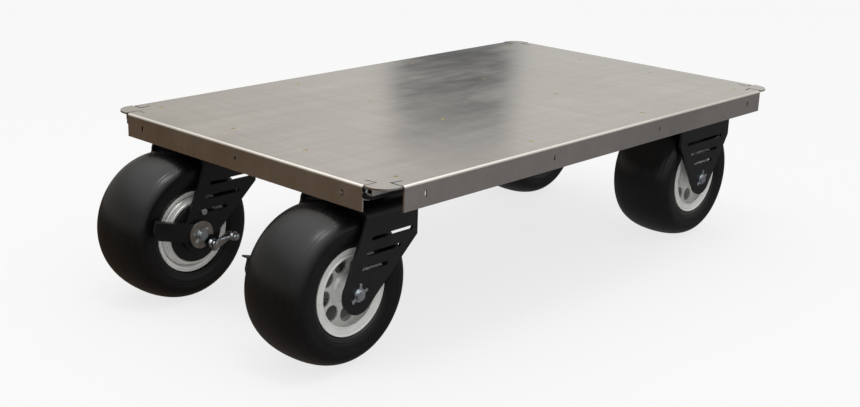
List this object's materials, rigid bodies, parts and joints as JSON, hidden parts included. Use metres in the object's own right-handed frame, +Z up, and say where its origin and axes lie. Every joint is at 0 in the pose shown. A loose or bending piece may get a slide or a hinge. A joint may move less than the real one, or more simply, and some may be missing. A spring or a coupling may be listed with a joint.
{
  "type": "flatbed platform truck",
  "caption": "Low flatbed platform truck: folded sheet-metal deck on wide slick pneumatic tyres, braked swivel casters at one end and fixed forks at the other.",
  "frame": {"origin": "on the floor, under the middle of the whole truck with its swivel casters trailing outward", "axes": "+X toward the fixed-wheel end, +Y toward the left side, +Z up"},
  "size_m": [1.221, 0.672, 0.309],
  "materials": {
    "deck_aluminium": "mill finish, lightly brushed and handled",
    "rail_aluminium": "mill finish tube",
    "fork_black": "satin black powder coat",
    "tyre_rubber": "satin slick rubber",
    "rim_aluminium": "satin cast and turned",
    "zinc": "bright zinc plate",
    "yellow_zinc": "yellow zinc plate",
    "plain_steel": "plain steel, lightly oiled",
    "bearing_steel": "ground steel",
    "brake_lining": "bonded friction lining"
  },
  "bodies": {
    "root": {"deck_tray": "deck_aluminium", "rail_outer_left": "rail_aluminium", "rail_outer_right": "rail_aluminium", "rail_inner_left": "rail_aluminium", "rail_inner_right": "rail_aluminium", "deck_screws": "yellow_zinc", "mount_plate_front_left": "fork_black", "mount_plate_front_right": "fork_black", "mount_plate_rear_left": "fork_black", "mount_plate_rear_right": "fork_black", "mount_bolts": "zinc", "rivet_nuts": "zinc", "riser_left": "fork_black", "riser_right": "fork_black", "riser_bolts": "zinc", "fixed_fork_left": "fork_black", "fixed_fork_right": "fork_black", "rear_axles": "zinc", "rear_axle_retainers": "zinc", "upper_race_left": "fork_black", "upper_race_right": "fork_black", "kingpins": "zinc", "kingpin_nuts": "zinc", "swivel_balls": "bearing_steel"},
    "swivel_left": {"swivel_fork_left": "fork_black", "lower_race_left": "fork_black", "front_axle_left": "zinc", "front_retainers_left": "zinc", "backing_plate_left": "fork_black", "brake_shoes_left": "brake_lining", "hub_plate_left": "plain_steel", "anchor_bolt_left": "zinc"},
    "wheel_front_left": {"tyre_front_left": "tyre_rubber", "rim_front_left": "rim_aluminium", "bearings_front_left": "bearing_steel", "brake_drum_left": "fork_black"},
    "wheel_rear_left": {"tyre_rear_left": "tyre_rubber", "rim_rear_left": "rim_aluminium", "bearings_rear_left": "bearing_steel"},
    "pedal_left": {"pedal_left": "fork_black"},
    "brake_link_left": {"brake_link_left": "zinc"},
    "cam_lever_left": {"cam_lever_left": "plain_steel"},
    "swivel_right": {"swivel_fork_right": "fork_black", "lower_race_right": "fork_black", "front_axle_right": "zinc", "front_retainers_right": "zinc", "backing_plate_right": "fork_black", "brake_shoes_right": "brake_lining", "hub_plate_right": "plain_steel", "anchor_bolt_right": "zinc"},
    "wheel_front_right": {"tyre_front_right": "tyre_rubber", "rim_front_right": "rim_aluminium", "bearings_front_right": "bearing_steel", "brake_drum_right": "fork_black"},
    "wheel_rear_right": {"tyre_rear_right": "tyre_rubber", "rim_rear_right": "rim_aluminium", "bearings_rear_right": "bearing_steel"},
    "pedal_right": {"pedal_right": "fork_black"},
    "brake_link_right": {"brake_link_right": "zinc"},
    "cam_lever_right": {"cam_lever_right": "plain_steel"}
  },
  "joints": [
    {"name": "swivel_turn_left", "type": "hinge", "parent": "root", "child": "swivel_left", "pos_m": [-0.4175, 0.196, 0.274], "axis": [0, 0, 1], "continuous": true},
    {"name": "front_wheel_spin_left", "type": "hinge", "parent": "swivel_left", "child": "wheel_front_left", "pos_m": [-0.4835, 0.196, 0.127], "axis": [0, 1, 0], "continuous": true},
    {"name": "rear_wheel_spin_left", "type": "hinge", "parent": "root", "child": "wheel_rear_left", "pos_m": [0.4825, 0.196, 0.127], "axis": [0, 1, 0], "continuous": true},
    {"name": "brake_pedal_left", "type": "hinge", "parent": "swivel_left", "child": "pedal_left", "pos_m": [-0.4835, 0.118, 0.127], "axis": [0, -1, 0], "range_deg": [0, 8]},
    {"name": "brake_link_turn_left", "type": "hinge", "parent": "pedal_left", "child": "brake_link_left", "pos_m": [-0.4685, 0.104, 0.1115], "axis": [0, -1, 0], "range_deg": [-17.81, 0]},
    {"name": "cam_lever_turn_left", "type": "hinge", "parent": "swivel_left", "child": "cam_lever_left", "pos_m": [-0.4575, 0.126, 0.099], "axis": [0, -1, 0], "range_deg": [-8.84, 0]},
    {"name": "swivel_turn_right", "type": "hinge", "parent": "root", "child": "swivel_right", "pos_m": [-0.4175, -0.196, 0.274], "axis": [0, 0, 1], "continuous": true},
    {"name": "front_wheel_spin_right", "type": "hinge", "parent": "swivel_right", "child": "wheel_front_right", "pos_m": [-0.4835, -0.196, 0.127], "axis": [0, 1, 0], "continuous": true},
    {"name": "rear_wheel_spin_right", "type": "hinge", "parent": "root", "child": "wheel_rear_right", "pos_m": [0.4825, -0.196, 0.127], "axis": [0, 1, 0], "continuous": true},
    {"name": "brake_pedal_right", "type": "hinge", "parent": "swivel_right", "child": "pedal_right", "pos_m": [-0.4835, -0.118, 0.127], "axis": [0, -1, 0], "range_deg": [0, 8]},
    {"name": "brake_link_turn_right", "type": "hinge", "parent": "pedal_right", "child": "brake_link_right", "pos_m": [-0.4685, -0.104, 0.1115], "axis": [0, -1, 0], "range_deg": [-17.81, 0]},
    {"name": "cam_lever_turn_right", "type": "hinge", "parent": "swivel_right", "child": "cam_lever_right", "pos_m": [-0.4575, -0.126, 0.099], "axis": [0, -1, 0], "range_deg": [-8.84, 0]}
  ],
  "couplings": [
    {"joint": "brake_link_turn_left", "follows": "brake_pedal_left", "ratio": -2.164},
    {"joint": "cam_lever_turn_left", "follows": "brake_pedal_left", "ratio": -1.042},
    {"joint": "brake_link_turn_right", "follows": "brake_pedal_right", "ratio": -2.164},
    {"joint": "cam_lever_turn_right", "follows": "brake_pedal_right", "ratio": -1.042}
  ]
}
